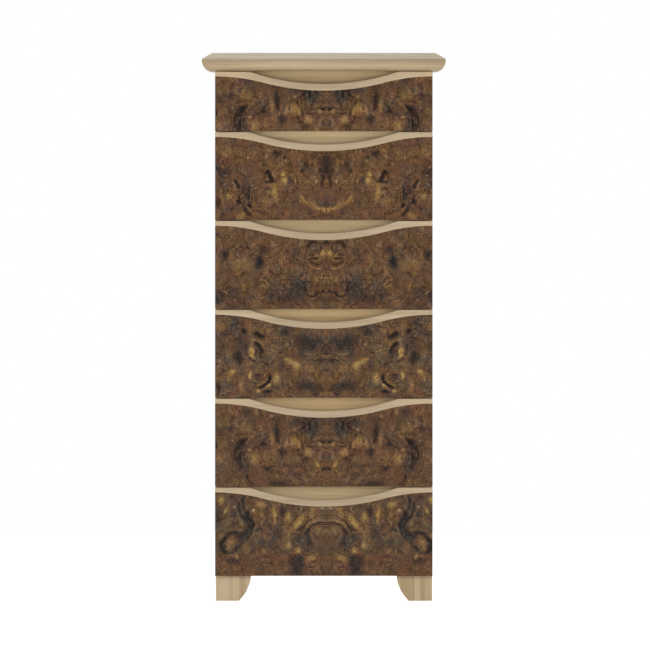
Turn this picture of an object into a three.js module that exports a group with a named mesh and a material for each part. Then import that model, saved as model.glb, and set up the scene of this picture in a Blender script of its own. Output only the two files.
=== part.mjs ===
// A tall chest of six drawers. Units are millimetres, +Z is up and the chest faces -Y.
// The origin is on the floor under the middle of the chest.
import * as THREE from "three";

// Overall sizes
const CHEST = { width: 576, depth: 450, height: 1295 };
const TOP_THICKNESS = 42;
const BODY_WIDTH = 512;
const FRONT_WIDTH = 514;
const FRONT_SETBACK = 31; // from the edge of the top board back to the face of the drawer fronts
const FRONT_THICKNESS = 20;
const FRONT_GAP = 2; // between one drawer front and the next, and under the top board
const CLOSING_GAP = 2; // between the back of a drawer front and the case

// Heights of the drawers' top edges, from the top drawer down
const DRAWER_PITCH = 210;
const LOWEST_DRAWER_TOP = 268;
const FULL_DRAWERS = 5;
const LOWEST_FRONT_EDGE = 59;

// Case boards
const BOARD = 18;
const BACK = { thickness: 5, rabbet: 8 };
const FOOT = { height: 63, width: 83.5, curveRadius: 84 };
const RAIL_SETBACK = 30; // from the face of the drawer fronts back to the face of the rails
const RAIL = { thickness: 18, below: 40, above: 18 }; // heights count from a drawer's top edge
const RUNNER = { width: 22, above: 23, backGap: 5 };

// Drawer boxes
const BOX = { side: 14, depth: 350, clearance: 2, dropBelowFront: 44, riseOverRunner: 0.5 };
const BOX_FLOOR = { thickness: 6, groove: 6, height: 8 };

// The grip lip along the top of every drawer front. Depths count down from the drawer's top edge.
const LIP = { depthAtEnd: 11.5, depthAtMiddle: 45, turnsAt: 142 };
const FINGER_DIP = { halfWidth: 176, depth: 29 };
const FINGER_COVE = { halfWidth: 190, depth: 38, faceThickness: 8 }; // the same dip on the lip's back

// Moulding around the front and sides of the top board
const TOP_CHAMFER = { inset: 25, height: 14.2 };
const TOP_OVOLO = { inset: 26.5, height: 22 };

const STEPS = { lipMiddle: 10, lipEnd: 8, dip: 16, ovolo: 7, foot: 8 };

// Planes that the parts share
const edge = CHEST.depth / 2;
const frontFace = edge - FRONT_SETBACK; // distances in front of the origin
const frontBack = frontFace - FRONT_THICKNESS;
const caseFront = frontBack - CLOSING_GAP;
const railFace = frontFace - RAIL_SETBACK;
const topUnderside = CHEST.height - TOP_THICKNESS;
const sideInner = BODY_WIDTH / 2 - BOARD;
const backInner = edge - BACK.thickness;

const ash = new THREE.MeshStandardMaterial({ color: 0xb8a384, roughness: 0.5, metalness: 0 });
const burl = new THREE.MeshStandardMaterial({ color: 0x5e4836, roughness: 0.4, metalness: 0 });
const birch = new THREE.MeshStandardMaterial({ color: 0xcdb892, roughness: 0.6, metalness: 0 });
const plywood = new THREE.MeshStandardMaterial({ color: 0xb79a72, roughness: 0.7, metalness: 0 });

const chest = new THREE.Group();

function add(name, geometry, material) {
  const mesh = new THREE.Mesh(geometry, material);
  mesh.name = name;
  chest.add(mesh);
  return mesh;
}

// A plain board between two corners.
function addBoard(name, material, [x0, x1], [y0, y1], [z0, z1]) {
  const board = add(name, new THREE.BoxGeometry(x1 - x0, y1 - y0, z1 - z0), material);
  board.position.set((x0 + x1) / 2, (y0 + y1) / 2, (z0 + z1) / 2);
}

// A solid through a pile of outlines that all have the same number of points. Each level is
// { at, outline }, with `at` rising and the outline running anticlockwise as seen from above it.
function pile(levels, toSpace) {
  const count = levels[0].outline.length;
  const last = levels.length - 1;
  const positions = levels.flatMap(({ at, outline }) => outline.flatMap(([u, v]) => toSpace(u, v, at)));
  const index = [];
  for (let level = 0; level < last; level++) {
    for (let i = 0; i < count; i++) {
      const [a, b] = [level * count + i, level * count + ((i + 1) % count)];
      index.push(a, b, b + count, a, b + count, a + count);
    }
  }
  const cap = ({ outline }) => THREE.ShapeUtils.triangulateShape(outline.map(([u, v]) => new THREE.Vector2(u, v)), []);
  for (const [a, b, c] of cap(levels[0])) index.push(c, b, a);
  for (const triangle of cap(levels[last])) index.push(...triangle.map((i) => last * count + i));
  const geometry = new THREE.BufferGeometry();
  geometry.setAttribute("position", new THREE.Float32BufferAttribute(positions, 3));
  geometry.setIndex(index);
  geometry.computeVertexNormals();
  return geometry;
}

const upwards = (x, y, height) => [x, y, height];
const forwards = (x, z, distance) => [x, -distance, z];

// A prism whose outline is drawn as seen from the front, between two distances in front of the origin.
const frontPrism = (outline, from, to) => pile([{ at: from, outline }, { at: to, outline }], forwards);

const rectangle = (x0, x1, y0, y1) => [[x0, y0], [x1, y0], [x1, y1], [x0, y1]];

// Points of a circular arc. Angles are in radians and count anticlockwise from +u.
function arc(centre, radius, from, to, steps) {
  return Array.from({ length: steps + 1 }, (_, i) => {
    const angle = from + ((to - from) * i) / steps;
    return [centre[0] + radius * Math.cos(angle), centre[1] + radius * Math.sin(angle)];
  });
}

// Top board: a chamfer above an upright nose and a rounded underside, on the front and both sides.
function addTopBoard() {
  const outlineInset = (inset) =>
    rectangle(inset - CHEST.width / 2, CHEST.width / 2 - inset, inset - edge, edge);
  const levels = [];
  for (let step = 0; step <= STEPS.ovolo; step++) {
    const angle = (step / STEPS.ovolo) * (Math.PI / 2);
    const inset = TOP_OVOLO.inset * (1 - Math.sin(angle));
    levels.push({ at: topUnderside + TOP_OVOLO.height * (1 - Math.cos(angle)), outline: outlineInset(inset) });
  }
  levels.push({ at: CHEST.height - TOP_CHAMFER.height, outline: outlineInset(0) });
  levels.push({ at: CHEST.height, outline: outlineInset(TOP_CHAMFER.inset) });
  add("top_board", pile(levels, upwards), ash);
}

// Feet: upright on their outer faces, curving in on their two inner faces.
function addFeet() {
  for (const [sideName, side] of [["left", -1], ["right", 1]]) {
    for (const [endName, end] of [["front", -1], ["back", 1]]) {
      const cornerX = (side * BODY_WIDTH) / 2;
      const cornerY = end < 0 ? -caseFront : edge;
      const levels = [];
      for (let step = 0; step <= STEPS.foot; step++) {
        const height = (FOOT.height * step) / STEPS.foot;
        const curveIn = FOOT.curveRadius - Math.sqrt(FOOT.curveRadius ** 2 - (FOOT.height - height) ** 2);
        const width = FOOT.width - curveIn;
        const xs = [cornerX, cornerX - side * width].sort((a, b) => a - b);
        const ys = [cornerY, cornerY - end * width].sort((a, b) => a - b);
        levels.push({ at: height, outline: rectangle(...xs, ...ys) });
      }
      add(`foot_${endName}_${sideName}`, pile(levels, upwards), ash);
    }
  }
}

// Case: two sides rabbeted for the back, a floor, and the back itself.
function addCase() {
  for (const [name, side] of [["left", -1], ["right", 1]]) {
    const outer = (side * BODY_WIDTH) / 2;
    const inner = side * sideInner;
    const rabbet = outer - side * BACK.rabbet;
    const outline = [
      [outer, -caseFront], [outer, edge], [rabbet, edge], [rabbet, backInner], [inner, backInner], [inner, -caseFront],
    ];
    const section = side > 0 ? outline : outline.reverse();
    const levels = [FOOT.height, topUnderside].map((at) => ({ at, outline: section }));
    add(`side_panel_${name}`, pile(levels, upwards), ash);
  }
  addBoard("bottom_panel", ash, [-sideInner, sideInner], [-caseFront, backInner], [FOOT.height, FOOT.height + BOARD]);
  const backHalf = BODY_WIDTH / 2 - BACK.rabbet;
  addBoard("back_panel", plywood, [-backHalf, backHalf], [backInner, edge], [FOOT.height, topUnderside]);
}

// A frame of two runners and a cross rail behind them, open to the front.
function addRunnerFrame(name, low, high) {
  const front = railFace - RAIL.thickness;
  const back = -(backInner - RUNNER.backGap);
  const inner = sideInner - RUNNER.width;
  const outline = [
    [-sideInner, -front], [-inner, -front], [-inner, -(back + RUNNER.width)],
    [inner, -(back + RUNNER.width)], [inner, -front], [sideInner, -front], [sideInner, -back], [-sideInner, -back],
  ];
  add(name, pile([{ at: low, outline }, { at: high, outline }], upwards), birch);
}

// Rails and runners between the drawers. Each frame carries the drawer above it and keeps the
// drawer below from tipping.
function addRails(tops) {
  const railDepth = [-railFace, RAIL.thickness - railFace];
  const across = [-sideInner, sideInner];
  addBoard("top_rail", ash, across, railDepth, [tops[0] - RAIL.below, topUnderside]);
  addRunnerFrame("top_frame", tops[0] - RAIL.below, topUnderside);
  tops.slice(1).forEach((top, i) => {
    addBoard(`divider_rail_${i + 1}`, ash, across, railDepth, [top - RAIL.below, top + RAIL.above]);
    addRunnerFrame(`runner_frame_${i + 1}`, top - RAIL.below, top + RUNNER.above);
  });
}

// The curve between a lip and the front below it, from left to right: it runs level at both ends
// and in the middle, and every stretch of it is a circular arc.
function lipCurve(top) {
  const half = FRONT_WIDTH / 2;
  const turn = 2 * Math.atan((LIP.depthAtMiddle - LIP.depthAtEnd) / half);
  const middleRadius = LIP.turnsAt / Math.sin(turn);
  const endRadius = (half - LIP.turnsAt) / Math.sin(turn);
  const endCentre = [half, top - LIP.depthAtEnd - endRadius];
  const middleCentre = [0, top - LIP.depthAtMiddle + middleRadius];
  const up = Math.PI / 2;
  const toMiddle = arc(middleCentre, middleRadius, -up, turn - up, STEPS.lipMiddle);
  const toEnd = arc(endCentre, endRadius, up + turn, up, STEPS.lipEnd).slice(1);
  const rightHalf = [...toMiddle, ...toEnd];
  const leftHalf = rightHalf.slice(1).reverse().map(([x, z]) => [-x, z]);
  return [...leftHalf, ...rightHalf];
}

// The dip in a lip's top edge, from right to left.
function dipCurve(top, { halfWidth, depth }) {
  const radius = (halfWidth ** 2 + depth ** 2) / (2 * depth);
  const reach = Math.asin(halfWidth / radius);
  const down = -Math.PI / 2;
  return arc([0, top - depth + radius], radius, down + reach, down - reach, STEPS.dip);
}

function addDrawerFace(name, top, lowEdge) {
  const half = FRONT_WIDTH / 2;
  const curve = lipCurve(top);
  const panel = [[half, lowEdge], ...[...curve].reverse(), [-half, lowEdge]];
  add(`${name}_front`, frontPrism(panel, frontBack, frontFace), burl);
  const lipOutline = (dip) => [...curve, [half, top], ...dipCurve(top, dip), [-half, top]];
  const levels = [
    { at: frontBack, outline: lipOutline(FINGER_COVE) },
    { at: frontFace - FINGER_COVE.faceThickness, outline: lipOutline(FINGER_DIP) },
    { at: frontFace, outline: lipOutline(FINGER_DIP) },
  ];
  add(`${name}_lip`, pile(levels, forwards), ash);
}

// A drawer box: grooved sides, a floor in the grooves, and a back that stands on the floor.
function addDrawerBox(name, top, low) {
  const high = top - BOX.dropBelowFront;
  const outer = sideInner - BOX.clearance;
  const inner = outer - BOX.side;
  const grooved = inner + BOX_FLOOR.groove;
  const floorLow = low + BOX_FLOOR.height;
  const floorHigh = floorLow + BOX_FLOOR.thickness;
  const boxBack = frontBack - BOX.depth;
  for (const [sideName, side] of [["left", -1], ["right", 1]]) {
    const outline = [
      [outer, low], [outer, high], [inner, high], [inner, floorHigh],
      [grooved, floorHigh], [grooved, floorLow], [inner, floorLow], [inner, low],
    ];
    const section = side > 0 ? outline : outline.map(([x, z]) => [-x, z]).reverse();
    add(`${name}_side_${sideName}`, frontPrism(section, boxBack, frontBack), birch);
  }
  addBoard(`${name}_floor`, plywood, [-grooved, grooved], [-frontBack, -boxBack], [floorLow, floorHigh]);
  addBoard(`${name}_back`, birch, [-inner, inner], [-boxBack - BOX.side, -boxBack], [floorHigh, high]);
}

const tops = Array.from({ length: FULL_DRAWERS }, (_, i) => LOWEST_DRAWER_TOP + DRAWER_PITCH * i).reverse();
tops.unshift(topUnderside - FRONT_GAP);

addTopBoard();
addFeet();
addCase();
addRails(tops);
tops.forEach((top, i) => {
  const name = `drawer_${i + 1}`;
  const isLowest = i === tops.length - 1;
  const boxLow = isLowest ? top - DRAWER_PITCH + RUNNER.above : tops[i + 1] + RUNNER.above;
  addDrawerFace(name, top, isLowest ? LOWEST_FRONT_EDGE : tops[i + 1] + FRONT_GAP);
  addDrawerBox(name, top, boxLow + BOX.riseOverRunner);
});

export default chest;
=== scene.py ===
"""A tall chest of six drawers: pale ash, with bookmatched burl veneer on the drawer fronts.

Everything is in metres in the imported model's frame: +Z up, the drawers open towards -Y.
"""
import math

import bmesh
import bpy
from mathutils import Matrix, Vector


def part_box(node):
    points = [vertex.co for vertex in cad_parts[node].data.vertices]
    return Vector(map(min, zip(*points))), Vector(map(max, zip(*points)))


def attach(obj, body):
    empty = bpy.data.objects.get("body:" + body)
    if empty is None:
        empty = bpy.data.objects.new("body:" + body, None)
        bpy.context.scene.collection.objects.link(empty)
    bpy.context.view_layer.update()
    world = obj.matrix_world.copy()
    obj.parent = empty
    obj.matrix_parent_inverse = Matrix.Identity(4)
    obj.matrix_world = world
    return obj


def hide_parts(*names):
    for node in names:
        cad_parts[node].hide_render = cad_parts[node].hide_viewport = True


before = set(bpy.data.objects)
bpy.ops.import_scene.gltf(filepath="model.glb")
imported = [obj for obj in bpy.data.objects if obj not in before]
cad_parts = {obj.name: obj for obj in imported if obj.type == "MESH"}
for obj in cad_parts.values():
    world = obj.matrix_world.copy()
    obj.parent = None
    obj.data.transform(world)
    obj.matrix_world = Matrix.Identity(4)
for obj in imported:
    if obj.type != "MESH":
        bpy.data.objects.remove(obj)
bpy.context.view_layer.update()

MM = 0.001
DRAWERS = range(1, 7)
DIVIDER_RAILS = range(1, 6)
SIDES = (("left", -1), ("right", 1))

# Curves of the lips, the top and the feet, as in the CAD model
LIP_TURNS_AT = 142 * MM
FINGER_DIP = (176 * MM, 29 * MM)  # half width and depth
FINGER_COVE = (190 * MM, 38 * MM)
LIP_LAND = 8 * MM  # thickness of the lip's upper edge, in front of the cove
TOP_CHAMFER = (25 * MM, 14.2 * MM)  # inset and height
TOP_OVOLO = (26.5 * MM, 22 * MM)
FOOT_CURVE = 84 * MM

# The veneer leaves of the fronts meet here, a little right of the middle
BOOKMATCH_X = 6 * MM


# ---- camera, light and floor

CAMERA_DISTANCE = 60.0
CAMERA_REACH = 200.0
VIEW_WIDTH = 1.536
VIEW_CENTRE = (2.8 * MM, 652.0 * MM)
SENSOR = 36.0


def make_camera():
    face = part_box("drawer_1_front")[0].y
    data = bpy.data.cameras.new("camera")
    data.sensor_width = SENSOR
    data.lens = SENSOR * CAMERA_DISTANCE / VIEW_WIDTH
    data.clip_end = CAMERA_REACH
    camera = bpy.data.objects.new("camera", data)
    camera.location = (VIEW_CENTRE[0], face - CAMERA_DISTANCE, VIEW_CENTRE[1])
    camera.rotation_euler = (math.radians(90), 0, 0)
    bpy.context.scene.collection.objects.link(camera)
    bpy.context.scene.camera = camera


# Soft lights: where each one is, what it points at, its size and its watts
LIGHTS = {
    "key": ((-1.8, -4.6, 0.8), (0, 0, 0.6), (1.4, 2.6), 64),
    "fill": ((1.8, -4.6, 0.8), (0, 0, 0.6), (1.4, 2.6), 48),
    "back": ((0, 1.8, 4.2), (0, 0, 1.29), (3.0, 2.0), 70),
}


def make_light(name, place, target, size, watts):
    data = bpy.data.lights.new(name, "AREA")
    data.shape = "RECTANGLE"
    data.size, data.size_y = size
    data.energy = watts
    light = bpy.data.objects.new(name, data)
    light.location = place
    light.rotation_euler = (Vector(target) - Vector(place)).to_track_quat("-Z", "Y").to_euler()
    light.visible_camera = False
    bpy.context.scene.collection.objects.link(light)


WORLD_FRONT, WORLD_BACK = 0.22, 0.85  # how bright the studio is in front of the chest and behind it
WORLD_TURN = (-0.3, 0.5)  # it changes over this range of a direction's y
FLOOR_SIZE = 40.0
FLOOR_GREY = 0.93
FLOOR_GLOW, FLOOR_THROW = 0.52, 0.28  # light that only the camera sees, and light for everything


def make_world():
    """A white studio whose backdrop, behind the chest, is brighter than its front."""
    world = bpy.data.worlds.new("studio")
    world.use_nodes = True
    bpy.context.scene.world = world
    graph = Graph(world.node_tree)
    graph.tree.nodes.clear()
    direction = graph.add("ShaderNodeTexCoord").outputs["Generated"]
    towards_back = graph.split(direction)["Y"]
    seen = graph.add("ShaderNodeBackground", Color=(1, 1, 1, 1), Strength=1.0)
    cast = graph.add("ShaderNodeBackground", Color=(1, 1, 1, 1),
                     Strength=graph.remap(towards_back, *WORLD_TURN, WORLD_FRONT, WORLD_BACK))
    rays = graph.add("ShaderNodeLightPath")
    mix = graph.add("ShaderNodeMixShader")
    graph.link(rays.outputs["Is Camera Ray"], mix.inputs[0])
    graph.link(cast.outputs[0], mix.inputs[1])
    graph.link(seen.outputs[0], mix.inputs[2])
    out = graph.add("ShaderNodeOutputWorld")
    graph.link(mix.outputs[0], out.inputs["Surface"])


def make_stage():
    material, graph = new_material("floor")
    shader = graph.shader(roughness=0.9, specular=0.1)
    shader.inputs["Base Color"].default_value = (FLOOR_GREY, FLOOR_GREY, FLOOR_GREY, 1)
    shader.inputs["Emission Color"].default_value = (1, 1, 1, 1)
    rays = graph.add("ShaderNodeLightPath").outputs["Is Camera Ray"]
    graph.feed(shader.inputs["Emission Strength"], graph.math("MULTIPLY_ADD", rays, FLOOR_GLOW, FLOOR_THROW))
    half = FLOOR_SIZE / 2
    corners = [(-half, -half, 0), (half, -half, 0), (half, half, 0), (-half, half, 0)]
    floor = mesh_object("floor", corners, [(0, 1, 2, 3)], material)


# ---- materials

class Graph:
    """Short ways to add nodes to a tree."""

    def __init__(self, tree):
        self.tree = tree

    def add(self, kind, settings=None, **inputs):
        node = self.tree.nodes.new(kind)
        for name, value in (settings or {}).items():
            setattr(node, name, value)
        for name, value in inputs.items():
            self.feed(node.inputs[name.replace("_", " ")], value)
        return node

    def feed(self, socket, value):
        if isinstance(value, bpy.types.NodeSocket):
            self.tree.links.new(value, socket)
        else:
            socket.default_value = value

    def link(self, source, target):
        self.tree.links.new(source, target)

    def math(self, operation, *values, clamp=False):
        node = self.add("ShaderNodeMath", {"operation": operation, "use_clamp": clamp})
        for socket, value in zip(node.inputs, values):
            self.feed(socket, value)
        return node.outputs[0]

    def total(self, *values):
        result = values[0]
        for value in values[1:]:
            result = self.math("ADD", result, value)
        return result

    def vector(self, operation, *values, scale=None):
        node = self.add("ShaderNodeVectorMath", {"operation": operation})
        for socket, value in zip(node.inputs, values):
            self.feed(socket, value)
        if scale is not None:
            self.feed(node.inputs["Scale"], scale)
        return node.outputs["Value" if operation in ("LENGTH", "DOT_PRODUCT", "DISTANCE") else "Vector"]

    def split(self, vector):
        """The x, y and z of a vector."""
        return self.add("ShaderNodeSeparateXYZ", Vector=vector).outputs

    def join(self, x=0.0, y=0.0, z=0.0):
        return self.add("ShaderNodeCombineXYZ", X=x, Y=y, Z=z).outputs[0]

    def noise(self, vector, scale=1.0, detail=2.0, roughness=0.5, distortion=0.0):
        return self.add("ShaderNodeTexNoise", Vector=vector, Scale=scale, Detail=detail,
                        Roughness=roughness, Distortion=distortion).outputs["Fac"]

    def noise_vector(self, vector, detail=2.0):
        """Three independent noises as a vector."""
        node = self.add("ShaderNodeTexNoise", Vector=vector, Scale=1.0, Detail=detail)
        x, y, z = self.add("ShaderNodeSeparateColor", Color=node.outputs["Color"]).outputs
        return self.join(x, y, z)

    def noise_1d(self, value, scale=1.0, detail=2.0, roughness=0.5):
        node = self.add("ShaderNodeTexNoise", {"noise_dimensions": "1D"}, W=value, Scale=scale,
                        Detail=detail, Roughness=roughness)
        return node.outputs["Fac"]

    def stretch(self, vector, scale, offset=(0, 0, 0)):
        return self.add("ShaderNodeMapping", Vector=vector, Scale=scale, Location=offset).outputs[0]

    def cells(self, vector, sizes, offset=(0, 0, 0)):
        """A vector for noise whose parts are about these sizes along x, y and z."""
        return self.stretch(vector, tuple(1 / size for size in sizes), offset)

    def spread(self, value, low, high):
        """A number from 0 to 1, spread over a range; beyond 0 and 1 it goes beyond the range."""
        return self.math("MULTIPLY_ADD", value, high - low, low)

    def remap(self, value, low, high, to_low=0.0, to_high=1.0, smooth=True):
        node = self.add("ShaderNodeMapRange", {
            "interpolation_type": "SMOOTHSTEP" if smooth else "LINEAR", "clamp": not smooth})
        for socket, number in zip(node.inputs, (value, low, high, to_low, to_high)):
            self.feed(socket, number)
        return node.outputs[0]

    def ramp(self, value, stops):
        node = self.add("ShaderNodeValToRGB", Fac=value)
        points = node.color_ramp.elements
        while len(points) < len(stops):
            points.new(0.5)
        for point, (at, colour) in zip(points, stops):
            point.position = at
            point.color = colour
        return node.outputs["Color"]

    def blend(self, factor, a, b):
        """Colour a where the factor is 0, colour b where it is 1."""
        node = self.add("ShaderNodeMix", {"data_type": "RGBA"})
        self.feed(node.inputs["Factor"], factor)
        self.feed(node.inputs[6], a)
        self.feed(node.inputs[7], b)
        return node.outputs[2]

    def shader(self, roughness=0.5, specular=0.5):
        shader = self.add("ShaderNodeBsdfPrincipled", Roughness=roughness)
        shader.inputs["Specular IOR Level"].default_value = specular
        out = self.add("ShaderNodeOutputMaterial")
        self.link(shader.outputs[0], out.inputs["Surface"])
        return shader

    def object_place(self):
        return self.add("ShaderNodeTexCoord").outputs["Object"]

    def turned_place(self, grain, offset):
        """The place in the object, turned so that the grain runs along x, and moved."""
        return self.add("ShaderNodeMapping", Vector=self.object_place(), Rotation=GRAIN_TURN[grain],
                        Location=offset).outputs[0]

    def bump(self, height, strength, distance):
        return self.add("ShaderNodeBump", Height=height, Strength=strength, Distance=distance).outputs[0]


def new_material(name):
    material = bpy.data.materials.new(name)
    material.use_nodes = True
    material.node_tree.nodes.clear()
    return material, Graph(material.node_tree)


def srgb(red, green, blue):
    """A colour from 0-255 display values."""
    def linear(value):
        value /= 255
        return value / 12.92 if value <= 0.04045 else ((value + 0.055) / 1.055) ** 2.4
    return (linear(red), linear(green), linear(blue), 1.0)


# The grain runs along this axis: how to turn an object's (x, y, z) so that the grain lies along x
GRAIN_TURN = {"x": (0, 0, 0), "y": (0, 0, math.radians(-90)), "z": (0, math.radians(90), 0)}


# How dense the noises are, per metre: along the grain, across it and through the board
DRIFT_DENSITY, CLOUD_DENSITY = (1.6, 7, 7), (3, 18, 18)
FIBRE_DENSITY, PORE_DENSITY = (9, 700, 700), (60, 2200, 2200)
# Where the heart of a stave's tree was: across it, in staves from its middle, and below it, in metres
HEART_ACROSS, HEART_BELOW = (-0.8, 0.8), (0.05, 0.21)
RING_SPACING = 2.6 * MM
RING_DARKENS, RING_ENDS = (0.25, 0.85), (1.0, 0.93)  # shares of a ring: dark slowly, pale again at once
RING_WANDER, RING_JITTER = 30 * MM, 6 * MM  # how far the rings stray from circles
WOOD_TONE, RING_CONTRAST = 0.16, 0.30
BAND_CONTRAST, FIBRE_CONTRAST, CLOUD_CONTRAST, STAVE_CONTRAST = 0.9, 0.6, 0.7, 0.16


def growth(graph, turned, stave):
    """How deep in its tree a place is, and how dark its stave is: each stave has a heart of its own."""
    _, across, through = graph.split(turned)
    number = graph.math("FLOOR", graph.math("DIVIDE", across, stave))
    chance = graph.add("ShaderNodeTexWhiteNoise", {"noise_dimensions": "1D"}, W=number).outputs
    luck = graph.split(chance["Color"])
    middle = graph.total(number, 0.5, graph.spread(luck[0], *HEART_ACROSS))
    off_middle = graph.math("SUBTRACT", across, graph.math("MULTIPLY", middle, stave))
    off_heart = graph.join(y=off_middle, z=graph.total(through, graph.spread(luck[1], *HEART_BELOW)))
    drift = graph.noise(graph.stretch(turned, DRIFT_DENSITY), detail=2.0)
    depth = graph.math("MULTIPLY_ADD", drift, RING_WANDER, graph.vector("LENGTH", off_heart))
    jitter = graph.noise_1d(depth, scale=90, detail=2.0)
    return graph.math("MULTIPLY_ADD", jitter, RING_JITTER, depth), chance["Value"]


def solid_wood(name, grain, pale, dark, seed=0.0, contrast=1.0, stave=0.11, roughness=0.42, painted_shade=None):
    """Straight-grained wood glued up from staves, solid all through, so that its ends show end grain."""
    material, graph = new_material(name)
    turned = graph.turned_place(grain, (seed * 1.7, seed * 0.9, seed * 0.6))
    depth, stave_tone = growth(graph, turned, stave)
    ring = graph.math("FRACT", graph.math("DIVIDE", depth, RING_SPACING))
    lines = graph.math("MULTIPLY", graph.remap(ring, *RING_DARKENS), graph.remap(ring, *RING_ENDS))
    bands = graph.noise_1d(depth, scale=70, detail=2.0)
    fibre = graph.noise(graph.stretch(turned, FIBRE_DENSITY), detail=3.0, roughness=0.6)
    cloud = graph.noise(graph.stretch(turned, CLOUD_DENSITY), detail=3.0)
    tone = graph.math("MULTIPLY_ADD", lines, RING_CONTRAST * contrast, WOOD_TONE)
    for part, weight in ((bands, BAND_CONTRAST), (fibre, FIBRE_CONTRAST),
                         (cloud, CLOUD_CONTRAST), (stave_tone, STAVE_CONTRAST)):
        tone = graph.math("MULTIPLY_ADD", graph.math("SUBTRACT", part, 0.5), weight * contrast, tone)
    colour = graph.blend(graph.math("MAXIMUM", tone, 0.0, clamp=True), pale, dark)
    if painted_shade:
        reach, least = painted_shade  # painted shade: the wood darkens from there towards the middle of the chest
        middle_out = graph.math("ABSOLUTE", graph.split(graph.object_place())["X"])
        shade = graph.remap(middle_out, reach * 0.3, reach, least, 1.0)
        colour = graph.vector("SCALE", colour, scale=shade)
    pores = graph.noise(graph.stretch(turned, PORE_DENSITY), detail=1.0)
    open_pores = graph.math("MULTIPLY", graph.remap(pores, 0.60, 0.70),
                            graph.remap(ring, 0.3, 0.9, 0.2, 1.0))
    grain_height = graph.math("SUBTRACT", graph.math("MULTIPLY", fibre, 0.6), open_pores)
    shader = graph.shader(specular=0.35)
    graph.feed(shader.inputs["Base Color"], colour)
    rough = graph.math("MULTIPLY_ADD", lines, 0.2, fibre)
    rough = graph.remap(rough, 0.3, 0.8, roughness - 0.06, roughness + 0.1, smooth=False)
    graph.feed(shader.inputs["Roughness"], rough)
    graph.feed(shader.inputs["Normal"], graph.bump(grain_height, 0.3, 0.3 * MM))
    return material


PLY_WARP_DENSITY, PLY_FIBRE_DENSITY = (1.1, 4.5, 4.5), (14, 420, 420)
PLY_RIPPLE_DENSITY = (90, 12, 12)
PLY_LAYERS = 14  # how many layers of wood the peeling knife went through and out of again


def plywood(name, grain, pale, dark, seed):
    """Peeled birch, with one broad wandering figure."""
    material, graph = new_material(name)
    turned = graph.turned_place(grain, (seed, seed * 1.3, seed * 0.7))
    warp = graph.noise(graph.stretch(turned, PLY_WARP_DENSITY), detail=2.0)
    figure = graph.noise_1d(graph.math("MULTIPLY", warp, PLY_LAYERS), detail=3.0, roughness=0.55)
    fibre = graph.noise(graph.stretch(turned, PLY_FIBRE_DENSITY), detail=3.0)
    ripple = graph.noise(graph.stretch(turned, PLY_RIPPLE_DENSITY), detail=1.0)
    tone = 0.0
    for part, weight, shift in ((figure, 1.1, -0.35), (fibre, 0.5, -0.2), (ripple, 0.25, -0.12)):
        tone = graph.math("MULTIPLY_ADD", part, weight, graph.math("ADD", tone, shift))
    colour = graph.blend(graph.math("MAXIMUM", tone, 0.0, clamp=True), pale, dark)
    shader = graph.shader(specular=0.3)
    graph.feed(shader.inputs["Base Color"], colour)
    graph.feed(shader.inputs["Roughness"], graph.remap(fibre, 0.3, 0.7, 0.5, 0.62, smooth=False))
    graph.feed(shader.inputs["Normal"], graph.bump(fibre, 0.2, 0.2 * MM))
    return material


def screw_metal():
    material, graph = new_material("zinc screws")
    shader = graph.shader(roughness=0.35)
    shader.inputs["Metallic"].default_value = 1.0
    tarnish = graph.noise(graph.stretch(graph.object_place(), (900, 900, 900)), detail=2.0)
    graph.feed(shader.inputs["Base Color"], graph.ramp(tarnish, [
        (0.3, srgb(150, 148, 140)), (0.7, srgb(196, 192, 180))]))
    graph.feed(shader.inputs["Roughness"], graph.remap(tarnish, 0.3, 0.7, 0.28, 0.45, smooth=False))
    return material


def felt():
    material, graph = new_material("brown felt")
    shader = graph.shader(roughness=0.95, specular=0.1)
    shader.inputs["Sheen Weight"].default_value = 0.4
    hairs = graph.noise(graph.stretch(graph.object_place(), (2500, 2500, 2500)), detail=3.0, distortion=1.5)
    graph.feed(shader.inputs["Base Color"], graph.ramp(hairs, [
        (0.3, srgb(88, 70, 54)), (0.7, srgb(126, 106, 86))]))
    graph.feed(shader.inputs["Normal"], graph.bump(hairs, 0.6, 0.3 * MM))
    return material


# ---- burl veneer

# The figure of each leaf is a list of marks. A mark's place is (u, v) in millimetres: u outwards
# from the line where two mirrored leaves meet, v down from the drawer's top edge. Tone is above 0
# for golden wood and below 0 for dark wood, warmth above 0 for golden and below 0 for grey; both
# are in percent.
#   patch:  u, v, half width, half height, tone, warmth, tilt in degrees
#   stroke: three points (u, v) of an arc, width, tone, warmth
#   arcs:   u, v, half width, half height of the place; centre and spacing of its arcs, tone, tilt
#   eye:    u, v, radius, turn in degrees of the swirl round it, height of its rings in percent


def patch(u, v, wide, tall, tone, warmth=0, tilt=0):
    return ("patch", u, v, wide, tall, tilt, tone / 100, warmth / 100)


def stroke(start, middle, end, width, tone, warmth=0):
    return ("stroke", start, middle, end, width, tone / 100, warmth / 100)


def arcs(u, v, wide, tall, centre, spacing, tone, tilt=0):
    return ("arcs", u, v, wide, tall, tilt, centre, spacing, tone / 100)


def eye(u, v, radius, turn, rings):
    return ("eye", u, v, radius, turn, rings / 100)


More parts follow.
